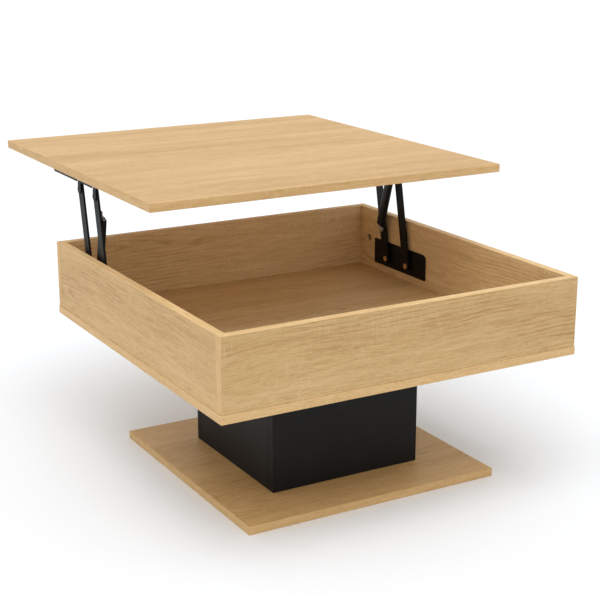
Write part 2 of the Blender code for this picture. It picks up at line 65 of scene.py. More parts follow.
FOUR_WAYS = ("front", "back", "left", "right")

# Colours, linear
OAK_PALE = (0.760, 0.540, 0.290)
OAK_LIGHT = (0.715, 0.485, 0.236)
OAK_MIDDLE = (0.600, 0.384, 0.170)
OAK_DARK = (0.420, 0.238, 0.082)
# painted highlight: the up- and down-facing edge bands of the tray walls made lighter, for light on their top
# edges
RIM_PAINTED_LIGHT = (1.24, 1.33, 1.46)
# painted light: the tray floor's oak made lighter and bluer, for light inside the shaded tray
TRAY_FLOOR_PAINTED_LIGHT = (1.08, 1.17, 1.35)
# painted shade: the front wall's oak made darker, for less light on that vertical face than on the top
FRONT_PAINTED_SHADE = (0.89, 0.90, 0.90)
# painted shade: the back and side walls' oak made darker, for less light on those vertical faces than on the
# top
SIDE_PAINTED_SHADE = (0.93, 0.93, 0.92)
# painted light: the inner faces of the tray walls made lighter and bluer, for light inside the tray
INNER_PAINTED_LIGHT = (1.20, 1.34, 1.60)
BLACK = (0.0070, 0.0068, 0.0066)
STEEL_BLACK = (0.0042, 0.0042, 0.0044)
BRONZE = (0.80, 0.50, 0.25)
ZINC = (0.62, 0.62, 0.63)
CAST_ZINC = (0.34, 0.27, 0.19)
WIRE = (0.72, 0.72, 0.74)
SHEATH_DARK = (0.0075, 0.0075, 0.0078)
SHEATH_WORN = (0.015, 0.015, 0.0155)
FLOOR_WHITE = (0.885, 0.91, 0.94)

# Lengths, metres
ARRIS = 0.0010
SEAM = 0.0003
STEEL_EDGE = 0.00035
RIVET_HEAD = 0.0012
RIVET_SHANK = 0.004
RIVET_ROLL = 0.0004
RIVET_HEAD_SHARE = 0.86
WOOD_SCREW_SHANK = 0.0019
BASE_SCREW_SHANK = 0.0025
THREAD_PITCH = 0.0012
SOCKET_RADIUS = 0.0048
SOCKET_DEPTH = 0.004
CAM_SUNK = 0.0012
HOOK_LENGTH = 0.009
COIL_LENGTH = 0.095
COIL_PITCH = 0.00135
COIL_RADIUS = 0.0028
COIL_OFFSET = 0.0042
COIL_WIRE = 0.0006
EYE_RADIUS = 0.0052

# Least area of a face that is shaded flat, square metres
BOARD_FLAT = 1e-3
STEEL_FLAT = 2e-5

# Light and view
SKY_STRENGTH = 0.86
SUN_STRENGTH = 1.20
SUN_SPREAD = 50.0
SUN_TILT = (14.0, -12.0)
SENSOR = 36.0
FOCAL_LENGTH = 1390.0 / 600.0 * SENSOR
VIEW_PLACE = (-1.2215, -2.1113, 1.0123)
VIEW_DOWN = 16.13
VIEW_TURN = -29.85


# ---------------------------------------------------------------- materials

class Shader:
    """A material under construction, with short calls for its nodes."""

    def __init__(self, name, roughness=0.5, metallic=0.0, specular=0.5):
        self.material = bpy.data.materials.new(name)
        self.material.use_nodes = True
        self.tree = self.material.node_tree
        self.principled = self.tree.nodes["Principled BSDF"]
        values = {"Roughness": roughness, "Metallic": metallic, "Specular IOR Level": specular}
        for socket, value in values.items():
            self.principled.inputs[socket].default_value = value

    def node(self, kind, **settings):
        made = self.tree.nodes.new(kind)
        for name, value in settings.items():
            setattr(made, name, value)
        return made

    def link(self, source, target):
        self.tree.links.new(source, target)

    def feed(self, socket, value):
        if isinstance(value, bpy.types.NodeSocket):
            self.link(value, socket)
        else:
            socket.default_value = value

    def math(self, operation, a, b=0.0, c=0.0):
        made = self.node("ShaderNodeMath", operation=operation)
        for socket, value in zip(made.inputs, (a, b, c)):
            self.feed(socket, value)
        return made.outputs[0]

    def axes(self):
        """The piece's own x, y and z, in metres."""
        coordinates = self.node("ShaderNodeTexCoord")
        split = self.node("ShaderNodeSeparateXYZ")
        self.link(coordinates.outputs["Object"], split.inputs[0])
        return split.outputs[:]

    def vector(self, x, y, z):
        made = self.node("ShaderNodeCombineXYZ")
        for socket, value in zip(made.inputs, (x, y, z)):
            self.feed(socket, value)
        return made.outputs[0]

    def scaled(self, axes, *scales):
        """A vector of the three axes, each times its scale."""
        return self.vector(*(self.math("MULTIPLY", axis, scale) for axis, scale in zip(axes, scales)))

    def noise(self, vector, scale=1.0, detail=2.0, roughness=0.5):
        made = self.node("ShaderNodeTexNoise")
        self.link(vector, made.inputs["Vector"])
        for socket, value in (("Scale", scale), ("Detail", detail), ("Roughness", roughness)):
            made.inputs[socket].default_value = value
        return made.outputs[0]

    def ramp(self, factor, *stops):
        """A colour ramp from (position, colour or grey) stops."""
        made = self.node("ShaderNodeValToRGB")
        elements = made.color_ramp.elements
        while len(elements) < len(stops):
            elements.new(0.5)
        for element, (position, colour) in zip(elements, stops):
            colour = colour if isinstance(colour, tuple) else (colour,) * 3
            element.position = position
            element.color = (*colour, 1.0)
        self.link(factor, made.inputs[0])
        return made.outputs[0]

    def mix(self, factor, a, b, blend="MIX"):
        made = self.node("ShaderNodeMix", data_type="RGBA", blend_type=blend)
        self.feed(made.inputs[0], factor)
        for socket, value in ((made.inputs[6], a), (made.inputs[7], b)):
            self.feed(socket, (*value, 1.0) if isinstance(value, tuple) else value)
        return made.outputs[2]

    def colour(self, value):
        self.feed(self.principled.inputs["Base Color"], (*value, 1.0) if isinstance(value, tuple) else value)

    def roughness(self, value):
        self.feed(self.principled.inputs["Roughness"], value)

    def bump(self, height, distance, strength=1.0):
        made = self.node("ShaderNodeBump")
        made.inputs["Strength"].default_value = strength
        made.inputs["Distance"].default_value = distance
        self.link(height, made.inputs["Height"])
        self.link(made.outputs[0], self.principled.inputs["Normal"])


def oak(name, grain, face, heart=(0.3, 0.3), slope=0.11, flame=0.5, banding=0.36, painted_light=None,
        inside=None):
    """Light sawn-oak decor. grain is the axis that it runs along and face the axis it faces.

    heart is the place (along the grain, across it) where the arched figure opens, slope how
    slender its arches are and flame how strongly they show. banding weighs wide soft stripes.
    inside is the node of a tray wall and the way that its inner face looks along the face axis;
    that half of its thickness gets painted light, for the light inside the tray. A given light or
    shade factor multiplies the whole colour: painted light or painted shade for how light falls.
    """
    shader = Shader(name, specular=0.22)
    axes = dict(zip("XYZ", shader.axes()))
    across = next(axis for axis in "XYZ" if axis not in (grain, face))
    along, plain_side, deep = axes[grain], axes[across], axes[face]
    sway = shader.noise(shader.scaled((along, plain_side, deep), 3.1, 6.0, 6.0))
    side = shader.math("MULTIPLY_ADD", sway, 0.030, plain_side)

    def fibres(along_scale, side_scale, shift=0.0, detail=2.0, roughness=0.5):
        moved = shader.math("MULTIPLY_ADD", along, along_scale, shift)
        place = shader.vector(moved, shader.math("MULTIPLY", side, side_scale),
                              shader.math("MULTIPLY", deep, side_scale))
        return shader.noise(place, detail=detail, roughness=roughness)

    bands = fibres(1.1, 19.0, 7.0, 3.0, 0.55)
    streaks = fibres(11.0, 175.0, 0.0, 5.0, 0.72)
    lines = fibres(30.0, 520.0, 5.0, 3.0, 0.7)
    dashes = fibres(115.0, 900.0, 9.0, 1.0)
    patches = fibres(2.6, 9.0, 11.0, 2.0)

    # arched figure: thin dark lines between growth rings
    run = shader.math("SUBTRACT", side, heart[1] + 0.015)
    drift = shader.math("MULTIPLY", shader.math("SUBTRACT", along, heart[0]), slope)
    far = shader.math("SQRT", shader.math("ADD", shader.math("MULTIPLY", run, run),
                                          shader.math("MULTIPLY", drift, drift)))
    wobble = shader.math("MULTIPLY_ADD", streaks, 0.012, far)
    phase = shader.math("FRACT", shader.math("MULTIPLY", wobble, 130.0))
    arches = shader.ramp(phase, (0.0, 0.0), (0.62, 0.0), (0.88, 1.0), (1.0, 0.0))
    shown = shader.ramp(patches, (0.45, 0.0), (0.57, flame))
    figure = shader.math("MULTIPLY", arches, shown)

    shade = shader.math("MULTIPLY", bands, banding)
    shade = shader.math("MULTIPLY_ADD", streaks, 0.54 - banding, shade)
    shade = shader.math("MULTIPLY_ADD", lines, 0.46, shade)
    shade = shader.math("MULTIPLY_ADD", figure, 0.16, shade)
    colour = shader.ramp(shade, (0.36, OAK_LIGHT), (0.52, OAK_MIDDLE), (0.70, OAK_DARK))

    # saw marks: short pale lines across the grain, gathered in patches
    saw_place = shader.vector(shader.math("MULTIPLY_ADD", along, 300.0, 1.7),
                              shader.math("MULTIPLY", plain_side, 40.0), shader.math("MULTIPLY", deep, 40.0))
    saw = shader.noise(saw_place, detail=2.0, roughness=0.8)
    where = fibres(9.0, 12.0, 2.3, 3.0)
    saw_lines = shader.ramp(saw, (0.52, 0.0), (0.64, 1.0))
    saw_where = shader.ramp(where, (0.50, 0.0), (0.62, 1.0))
    marks = shader.math("MULTIPLY", saw_lines, saw_where)
    colour = shader.mix(shader.math("MULTIPLY", marks, 0.36), colour, OAK_PALE)

    # open pores: short dark dashes along the grain, thickest in the darker streaks
    pore_mask = shader.ramp(dashes, (0.53, 0.0), (0.61, 1.0))
    pore_where = shader.ramp(streaks, (0.40, 0.20), (0.60, 1.0))
    pitted = shader.math("MULTIPLY", pore_mask, pore_where)
    colour = shader.mix(shader.math("MULTIPLY", pitted, 0.42), colour, OAK_DARK)
    # painted light: the inner half of a tray wall is made lighter, then a light or shade factor multiplies
    # the whole colour (painted light and painted shade)
    if inside:
        wall, sign = inside
        from_middle = shader.math("SUBTRACT", deep, middle(wall)["XYZ".index(face)])
        depth = shader.math("MULTIPLY", from_middle, sign)
        painted_light = shader.mix(shader.math("GREATER_THAN", depth, 0.0), painted_light, INNER_PAINTED_LIGHT)
    if painted_light:
        colour = shader.mix(1.0, colour, painted_light, "MULTIPLY")
    shader.colour(colour)
    shader.roughness(shader.math("MULTIPLY_ADD", streaks, 0.22, 0.40))
    relief = shader.math("SUBTRACT", shader.math("MULTIPLY", marks, 0.6), pitted)
    shader.bump(relief, 0.00006)
    return shader.material


def tinted(colour, factor):
    return tuple(channel * factor for channel in colour)


def black_board():
    """Matt black decor with a fine even pearl and faint hand marks."""
    shader = Shader("black_decor", specular=0.16)
    place = shader.vector(*shader.axes())
    pearl = shader.noise(place, 1500.0, 2.0, 0.6)
    clouds = shader.noise(place, 9.0, 4.0, 0.6)
    shader.colour(shader.ramp(clouds, (0.35, BLACK), (0.75, tinted(BLACK, 1.5))))
    shader.roughness(shader.math("MULTIPLY_ADD", clouds, 0.16, 0.42))
    shader.bump(pearl, 0.00005, 0.6)
    return shader.material


def powder_coat():
    """Satin black powder coat on steel, with its orange peel."""
    shader = Shader("black_powder_coat", specular=0.14)
    place = shader.vector(*shader.axes())
    peel = shader.noise(place, 900.0, 2.0, 0.5)
    dust = shader.noise(place, 60.0, 4.0, 0.65)
    shader.colour(shader.ramp(dust, (0.40, STEEL_BLACK), (0.72, tinted(STEEL_BLACK, 1.9))))
    shader.roughness(shader.math("MULTIPLY_ADD", dust, 0.20, 0.38))
    shader.bump(peel, 0.00008, 0.7)
    return shader.material


def sheath():
    """Black plastic sheath: smooth, with slow dents from the coils under it."""
    shader = Shader("black_sheath", specular=0.15)
    place = shader.vector(*shader.axes())
    ripple = shader.noise(place, 220.0, 2.0, 0.5)
    haze = shader.noise(place, 35.0, 3.0, 0.6)
    shader.colour(shader.ramp(haze, (0.35, SHEATH_DARK), (0.75, SHEATH_WORN)))
    shader.roughness(shader.math("MULTIPLY_ADD", haze, 0.18, 0.34))
    shader.bump(ripple, 0.00025, 0.5)
    return shader.material


def plated(name, colour, roughness):
    """Plated metal with fine tool marks and slight clouding."""
    shader = Shader(name, metallic=1.0)
    axes = shader.axes()
    clouds = shader.noise(shader.vector(*axes), 160.0, 4.0, 0.6)
    marks = shader.noise(shader.scaled(axes, 3500.0, 400.0, 400.0), detail=1.0)
    shader.colour(shader.ramp(clouds, (0.3, tinted(colour, 0.78)), (0.7, colour)))
    shader.roughness(shader.math("MULTIPLY_ADD", clouds, 0.22, roughness - 0.08))
    shader.bump(marks, 0.00003, 0.4)
    return shader.material


# ------------------------------------------------------------ mesh helpers

def to_object(name, bm, materials, body, replaces=(), smooth_angle=35.0, flat_area=None):
    """Makes a piece from a bmesh in frame coordinates, and puts it on its body.

    Faces larger than flat_area, in square metres, are plane and keep their own normals.
    """
    mesh = bpy.data.meshes.new(name)
    bm.to_mesh(mesh)
    bm.free()
    for material in materials:
        mesh.materials.append(material)
    mesh.shade_smooth()
    mesh.set_sharp_from_angle(angle=math.radians(smooth_angle))
    if flat_area:
        for face in mesh.polygons:
            face.use_smooth = face.area < flat_area
    piece = bpy.data.objects.new(name, mesh)
    bpy.context.collection.objects.link(piece)
    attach(piece, body)
    if replaces:
        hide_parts(*replaces)
    return piece


def body_of(node):
    return next(body for body, nodes in frame["record"]["behaviour"]["bodies"].items() if node in nodes)


def middle(node):
    low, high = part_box(node)
    return (low + high) / 2


def add_turned(bm, profile, start, direction, steps=32):
    """Turns (distance along the axis, radius) points round an axis, as a closed body."""
    turn = Vector((0.0, 0.0, 1.0)).rotation_difference(Vector(direction)).to_matrix().to_4x4()
    place = Matrix.Translation(start) @ turn
    rings = []
    for along, radius in profile:
        if radius == 0.0:
            rings.append([bm.verts.new(place @ Vector((0.0, 0.0, along)))])
            continue
        angles = [math.tau * k / steps for k in range(steps)]
        rings.append([bm.verts.new(place @ Vector((radius * math.cos(a), radius * math.sin(a), along)))
                      for a in angles])
    for low, high in zip(rings, rings[1:]):
        for k in range(steps):
            after = k + 1
            corners = [low[k % len(low)], low[after % len(low)], high[after % len(high)], high[k % len(high)]]
            corners = list(dict.fromkeys(corners))
            if len(corners) > 2:
                bm.faces.new(corners)


def add_tube(bm, points, radius, sides=8, material=0):
    """A round wire through points, closed at both ends."""
    rings = []
    normal = None
    for k, point in enumerate(points):
        ahead = points[min(k + 1, len(points) - 1)] - points[max(k - 1, 0)]
        ahead.normalize()
        if normal is None:
            normal = ahead.orthogonal().normalized()
        normal = (normal - ahead * normal.dot(ahead)).normalized()
        other = ahead.cross(normal)
        rings.append([bm.verts.new(point + radius * (normal * math.cos(a) + other * math.sin(a)))
                      for a in (math.tau * j / sides for j in range(sides))])
    for low, high in zip(rings, rings[1:]):
        for j in range(sides):
            after = (j + 1) % sides
            bm.faces.new((low[j], low[after], high[after], high[j])).material_index = material
    bm.faces.new(list(reversed(rings[0]))).material_index = material
    bm.faces.new(rings[-1]).material_index = material


def refined(node, name, material):
    """The CAD node's own shape with its sharp edges rounded, as pressed and coated steel has."""
    bm = bmesh.new()
    bm.from_mesh(frame["nodes"][node].data)
    bmesh.ops.remove_doubles(bm, verts=bm.verts, dist=1e-6)
    bmesh.ops.dissolve_limit(bm, angle_limit=math.radians(1.0), verts=bm.verts, edges=bm.edges)
    bmesh.ops.recalc_face_normals(bm, faces=bm.faces)
    for face in bm.faces:
        face.material_index = 0
    sharp = [edge for edge in bm.edges
             if len(edge.link_faces) == 2 and edge.calc_face_angle() > math.radians(35)]
    bmesh.ops.bevel(bm, geom=sharp, offset=STEEL_EDGE, segments=3, profile=0.5, affect="EDGES",
                    clamp_overlap=True, material=-1)
    return to_object(name, bm, [material], body_of(node), [node], 30.0, STEEL_FLAT)


# ------------------------------------------------------------------ boards

def board_piece(node, face_material, band_materials, holes=()):
    """A laminated board: its decor on the two broad faces, bands on its edges, round arrises.

    band_materials maps the axis an edge faces to its band's material.
    """
    low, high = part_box(node)
    size = high - low
    thin = min(range(3), key=lambda axis: size[axis])
    bm = bmesh.new()
    scale = Matrix.Diagonal((*size, 1.0))
    bmesh.ops.create_cube(bm, size=1.0, matrix=Matrix.Translation((low + high) / 2) @ scale)
    bmesh.ops.bevel(bm, geom=bm.edges[:], offset=ARRIS, segments=4, profile=0.5, affect="EDGES")
    slots = [face_material] + [band_materials[axis] for axis in sorted(band_materials)]
    order = sorted(band_materials)
    for face in bm.faces:
        # an arris belongs to the band beside it
        parts = sorted(range(3), key=lambda axis: -abs(face.normal[axis]))
        chosen = parts[0] if parts[0] != thin or abs(face.normal[thin]) > 0.999 else parts[1]
        face.material_index = 0 if chosen == thin else 1 + order.index("XYZ"[chosen])
    piece = to_object(node + "_panel", bm, slots, body_of(node), [node], 30.0, BOARD_FLAT)
    for hole in holes:
        drill(piece, hole)
    return piece


def drill(piece, hole):
    """Bores a blind hole (start, direction, radius, depth) in a board."""
    start, direction, radius, depth = hole
    bm = bmesh.new()
    profile = [(-0.002, 0.0), (-0.002, radius), (depth, radius), (depth, 0.0)]
    add_turned(bm, profile, start, direction, 32)
    bmesh.ops.recalc_face_normals(bm, faces=bm.faces)
    mesh = bpy.data.meshes.new("drill")
    bm.to_mesh(mesh)
    bm.free()
    cutter = bpy.data.objects.new("drill", mesh)
    bpy.context.collection.objects.link(cutter)
    boolean = piece.modifiers.new("drill", "BOOLEAN")
    boolean.object = cutter
    boolean.operation = "DIFFERENCE"
    boolean.solver = "EXACT"
    with bpy.context.temp_override(object=piece, active_object=piece, selected_objects=[piece]):
        bpy.ops.object.modifier_apply(modifier="drill")
    bpy.data.objects.remove(cutter)


def boards(materials):
    """Every laminated board. The bands on its edges run along its edges."""
    quiet = {"heart": (0.9, 0.9), "slope": 0.02, "flame": 0.0}
    bands = {"X": oak("oak_band_y", "Y", "X", **quiet), "Y": oak("oak_band_x", "X", "Y", **quiet)}
    band_upright = oak("oak_band_z", "Z", "X", **quiet)
    # the rim bands carry painted highlight: the same quiet oak made lighter for the light on the tray walls'
    # top edges
    rim_x = oak("oak_rim_x_painted_light", "X", "Z", painted_light=RIM_PAINTED_LIGHT, **quiet)
    rim_y = oak("oak_rim_y_painted_light", "Y", "Z", painted_light=RIM_PAINTED_LIGHT, **quiet)
    decor = oak("oak_tabletop", "X", "Z", heart=(0.30, 0.56), slope=0.10, flame=0.30, banding=0.42)
    board_piece("tabletop", decor, bands)
    # the tray floor's oak carries painted light, lighter for the light inside the tray
    decor = oak("oak_tray_floor", "X", "Z", heart=(-0.15, 0.05), slope=0.12, flame=0.8, painted_light=TRAY_FLOOR_PAINTED_LIGHT)
    board_piece("tray_floor", decor, bands)
    base_screws = [middle("base_screw_" + name) for name in FOUR_WAYS]
    sockets = [(Vector((place.x, place.y, 0.0)), (0, 0, 1), SOCKET_RADIUS, SOCKET_DEPTH)
               for place in base_screws]
    decor = oak("oak_base", "X", "Z", heart=(0.10, -0.16), slope=0.16, flame=0.7)
    board_piece("base_board", decor, bands, sockets)
    wide = {"X": band_upright, "Z": rim_x}
    # the front wall's oak carries painted shade outside and painted light on its inner half
    decor = oak("oak_tray_front", "X", "Y", heart=(0.34, 0.262), slope=0.11, flame=1.0, painted_light=FRONT_PAINTED_SHADE,
                inside=("tray_front", 1.0))
    board_piece("tray_front", decor, wide)
    # the back wall's oak carries painted shade, with painted light on its inner half
    decor = oak("oak_tray_back", "X", "Y", heart=(-0.30, 0.36), slope=0.09, flame=0.8, painted_light=SIDE_PAINTED_SHADE,
                inside=("tray_back", -1.0))
    board_piece("tray_back", decor, wide)
    for name, sign in SIDES.items():
        pockets = []
        for end in ("front", "back"):
            low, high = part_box("cam_%s_%s" % (name, end))
            centre = (low + high) / 2
            centre.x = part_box("tray_" + name)[0 if sign > 0 else 1].x
            pockets.append((centre, (sign, 0, 0), (high.y - low.y) / 2 + 0.0003, high.x - low.x + 0.0008))
        # the side walls' oak carries painted shade outside and painted light on the inner half
        decor = oak("oak_tray_" + name, "Y", "X", heart=(-0.20 * sign, 0.30), slope=0.10, flame=0.8,
                    painted_light=SIDE_PAINTED_SHADE, inside=("tray_" + name, -sign))
        board_piece("tray_" + name, decor, {"Y": band_upright, "Z": rim_y}, pockets)
    black = materials["black_board"]
    for name in FOUR_WAYS:
        board_piece("column_" + name, black, {"X": black, "Y": black, "Z": black})


# --------------------------------------------------------------- mechanism

def steelwork(materials):
    coat = materials["black_steel"]
    for name in SIDES:
        for part in ("mounting_plate", "rear_arm", "front_arm", "top_rail"):
            node = "%s_%s" % (name, part)
            refined(node, node + "_steel", coat)


def rivets(materials):
    for name, sign in SIDES.items():
        for which in ("front", "rear"):
            for level in ("lower", "upper"):
                node = "%s_%s_%s_rivet" % (name, which, level)
                key = "rivet_bronze" if level == "lower" else "black_steel"
                pivot_rivet(node, sign, materials[key])


def pivot_rivet(node, sign, material):
    """Shank, collars and a head with a rolled edge and a peened dimple in its middle."""
    low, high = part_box(node)
    centre = (low + high) / 2
    outer = high.x if sign > 0 else low.x
    length = high.x - low.x
    head, shank, edge = RIVET_HEAD_SHARE * (high.y - low.y) / 2, RIVET_SHANK, RIVET_ROLL
    start, end = length - RIVET_HEAD, length
    profile = [(0.0, 0.0), (0.0, shank)]
    for first, last in rivet_collars(node, length):
        profile += [(first, shank), (first, head - edge), (first + edge, head), (last - edge, head),
                    (last, head - edge), (last, shank)]
    profile += [(start, shank), (start, head - edge)]
    profile += [(end - edge + edge * math.sin(a), head - edge + edge * math.cos(a))
                for a in (math.pi / 2 * k / 4 for k in range(5))]
    profile += [(end, 0.0030), (end - 0.00035, 0.0022), (end - 0.0008, 0.0014), (end - 0.0008, 0.0)]
    bm = bmesh.new()
    add_turned(bm, profile, Vector((outer, centre.y, centre.z)), (-sign, 0, 0), 40)
    bmesh.ops.recalc_face_normals(bm, faces=bm.faces)
    to_object(node + "_turned", bm, [material], body_of(node), [node])


def rivet_collars(node, length):
    """Collars of a rivet before its head, as (start, end) from its outer end."""
    side, _, level, _ = node.split("_")
    low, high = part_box(node)
    outer = max(abs(low.x), abs(high.x))
    plate_in = nearest_x(side + "_mounting_plate")
    arm_in, arm_out = nearest_x(side + "_rear_arm"), furthest_x(side + "_rear_arm")
    collars = []
    if level == "lower":
        collars.append((outer - plate_in + SEAM, outer - arm_out - SEAM))
    if length - (outer - arm_in) > 2 * RIVET_HEAD:
        collars.append((outer - arm_in + SEAM, outer - arm_in + SEAM + RIVET_HEAD))
    return collars


def nearest_x(node):
    """How near to the table's middle plane a node comes."""
    low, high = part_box(node)
    return min(abs(low.x), abs(high.x))


def furthest_x(node):
    """How far from the table's middle plane a node reaches."""
    low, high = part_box(node)
    return max(abs(low.x), abs(high.x))


def cross_screw(node, start, direction, material, head, shank, length):
    """A countersunk screw with a cross recess and a thread."""
    axis = Vector(direction).normalized()
    side = axis.orthogonal().normalized()
    up = axis.cross(side)
    bm = bmesh.new()
    recess, slot_half, slot_length = 0.0012, head * 0.13, head * 0.58
    cone = head - shank
    profile = [(0.0, head * 0.97), (0.0002, head), (cone, shank), (cone + 0.001, shank * 0.8)]
    turns = int((length - cone - 0.004) / THREAD_PITCH)
    for k in range(turns):
        root = cone + 0.001 + k * THREAD_PITCH
        profile += [(root + 0.0004, shank), (root + 0.0008, shank * 0.8)]
    profile += [(length, 0.0)]
    add_turned(bm, profile, start, axis, 24)
    # the head's face: a ring round a cross that is pressed into it
    angles = [math.tau * k / 24 for k in range(24)]
    rim = [start + head * 0.97 * (side * math.cos(a) + up * math.sin(a)) for a in angles]
    cross = cross_outline(slot_half, slot_length)
    face_verts = [bm.verts.new(start + side * a + up * b) for a, b in cross]
    deep_verts = [bm.verts.new(start + axis * recess + (side * a + up * b) * 0.55) for a, b in cross]
    rim_verts = [bm.verts.new(p) for p in rim]
    edges = [bm.edges.new((rim_verts[k], rim_verts[(k + 1) % 24])) for k in range(24)]
    edges += [bm.edges.new((face_verts[k], face_verts[(k + 1) % 12])) for k in range(12)]
    bmesh.ops.triangle_fill(bm, use_beauty=True, edges=edges)
    for k in range(12):
        after = (k + 1) % 12
        bm.faces.new((face_verts[k], face_verts[after], deep_verts[after], deep_verts[k]))
    bm.faces.new(deep_verts)
    bmesh.ops.remove_doubles(bm, verts=bm.verts, dist=2e-6)
    bmesh.ops.recalc_face_normals(bm, faces=bm.faces)
    to_object(node + "_threaded", bm, [material], body_of(node), [node])


def cross_outline(half, reach):
    """The twelve corners of a plus sign."""
    quarter = [(half, half), (half, reach), (-half, reach)]
    corners = []
    for _ in range(4):
        corners += quarter
        quarter = [(-b, a) for a, b in quarter]
    return corners


def screws(materials):
    steel = materials["black_steel"]
    for name, sign in SIDES.items():
        for number in (1, 2, 3):
            node = "%s_plate_screw_%d" % (name, number)
            low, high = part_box(node)
            centre = (low + high) / 2
            centre.x = low.x if sign > 0 else high.x
            cross_screw(node, centre, (sign, 0, 0), steel, (high.y - low.y) / 2, WOOD_SCREW_SHANK,
                        high.x - low.x)
            node = "%s_rail_screw_%d" % (name, number)
            low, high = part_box(node)
            centre = Vector(((low.x + high.x) / 2, (low.y + high.y) / 2, low.z))
            cross_screw(node, centre, (0, 0, 1), steel, (high.y - low.y) / 2, WOOD_SCREW_SHANK,
                        high.z - low.z)
    for name in FOUR_WAYS:
        node = "base_screw_" + name
        low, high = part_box(node)
        centre = Vector(((low.x + high.x) / 2, (low.y + high.y) / 2, low.z))
        cross_screw(node, centre, (0, 0, 1), materials["zinc"], (high.y - low.y) / 2, BASE_SCREW_SHANK,
                    high.z - low.z)


def cams(materials):
    """Cam locks: a cast disc with a rim, a sunk face and a raised cross on it."""
    for name, sign in SIDES.items():
        for end in ("front", "back"):
            node = "cam_%s_%s" % (name, end)
            low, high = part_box(node)
            centre = (low + high) / 2
            radius, depth = (high.y - low.y) / 2, high.x - low.x
            face = Vector((low.x if sign > 0 else high.x, centre.y, centre.z))
            bm = bmesh.new()
            sunk = CAM_SUNK
            profile = [(sunk + 0.0009, 0.0), (sunk + 0.0009, 0.0010), (sunk + 0.0006, radius * 0.34),
                       (sunk + 0.0006, radius * 0.80), (sunk + 0.0001, radius * 0.86), (sunk, radius * 0.95),
                       (sunk + 0.0004, radius), (depth, radius), (depth, 0.0)]
            add_turned(bm, profile, face, (sign, 0, 0), 48)
            for turn in (0.0, math.pi / 2):
                middle_of_bar = face + Vector((sign * (sunk + 0.0007), 0, 0))
                bar = Matrix.Translation(middle_of_bar) @ Matrix.Rotation(turn + 0.4, 4, "X")
                bar = bar @ Matrix.Diagonal((0.0009, radius * 1.3, 0.0012, 1.0))
                bmesh.ops.create_cube(bm, size=1.0, matrix=bar)
            bmesh.ops.recalc_face_normals(bm, faces=bm.faces)
            to_object(node + "_cast", bm, [materials["cast_zinc"]], body_of(node), [node])
            bolt = "cam_bolt_%s_%s" % (name, end)
            frame["nodes"][bolt].data.materials.clear()
            frame["nodes"][bolt].data.materials.append(materials["zinc"])


def spring_units(materials):
    """Sleeve, twin coils, hook and pin of each side, along the line from anchor to pin."""
    for name, sign in SIDES.items():
        anchor_node = "right_front_upper_rivet" if name == "right" else "left_rear_lower_rivet"
        anchor, pin = middle(anchor_node), middle(name + "_spring_pin")
        low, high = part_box(name + "_spring_sleeve")
        out, inn = (high.x, low.x) if sign > 0 else (low.x, high.x)
        run = Vector((0.0, pin.y - anchor.y, pin.z - anchor.z))
        along = run.normalized()
        side = Vector((0.0, -along.z, along.y))
        place = {"anchor": Vector((0.0, anchor.y, anchor.z)), "along": along, "side": side,
                 "reach": run.length, "out": out, "inn": inn, "sign": sign}
        sheath_piece(name, place, materials)
        coils_piece(name, place, materials)
        pin_piece(name, place, materials)


def at(place, x, along, side):
    """A point of the unit from its x, its distance from the anchor and its distance to the side."""
    point = place["anchor"] + place["along"] * along + place["side"] * side
    point.x = x
    return point


def sheath_piece(name, place, materials):
    """A flat-oval sheath, pinched at the anchor and open at the pin's end, on a steel eye."""
    out, inn = place["out"], place["inn"]
    centre_x, half_deep = (out + inn) / 2, abs(out - inn) / 2
    near, far = 0.018, place["reach"] - HOOK_LENGTH - 0.002
    # rings as (distance from the anchor, half width, half depth): outside, lip, then back inside
    widths = [(near, 0.0060, 0.0022), (near + 0.002, 0.0072, 0.0040),
              (near + 0.010, 0.0090, half_deep * 0.96), (near + 0.020, 0.0104, half_deep),
              (far - 0.006, 0.0105, half_deep), (far - 0.004, 0.0103, half_deep * 0.97),
              (far - 0.001, 0.0105, half_deep), (far, 0.0102, half_deep * 0.96),
              (far, 0.0094, half_deep * 0.88), (near + 0.022, 0.0092, half_deep * 0.87)]
    bm = bmesh.new()
    rings = []
    steps = 40
    for along, wide, deep in widths:
        ring = []
        shift = (out - math.copysign(deep, place["sign"])) - centre_x if along < near + 0.015 else 0.0
        for k in range(steps):
            a = math.tau * k / steps
            c, s = math.cos(a), math.sin(a)
            w = wide * math.copysign(abs(c) ** 0.6, c)
            d = deep * math.copysign(abs(s) ** 0.6, s)
            ring.append(bm.verts.new(at(place, centre_x + shift + d, along, w)))
        rings.append(ring)
    for low, high in zip(rings, rings[1:]):
        for k in range(steps):
            bm.faces.new((low[k], low[(k + 1) % steps], high[(k + 1) % steps], high[k]))
    bm.faces.new(rings[0])
    bm.faces.new(rings[-1])
    add_eye_plate(bm, place, near)
    bmesh.ops.recalc_face_normals(bm, faces=bm.faces)
    node = name + "_spring_sleeve"
    to_object(node + "_sheath", bm, [materials["black_sheath"], materials["black_steel"]], body_of(node),
              [node], 40.0)


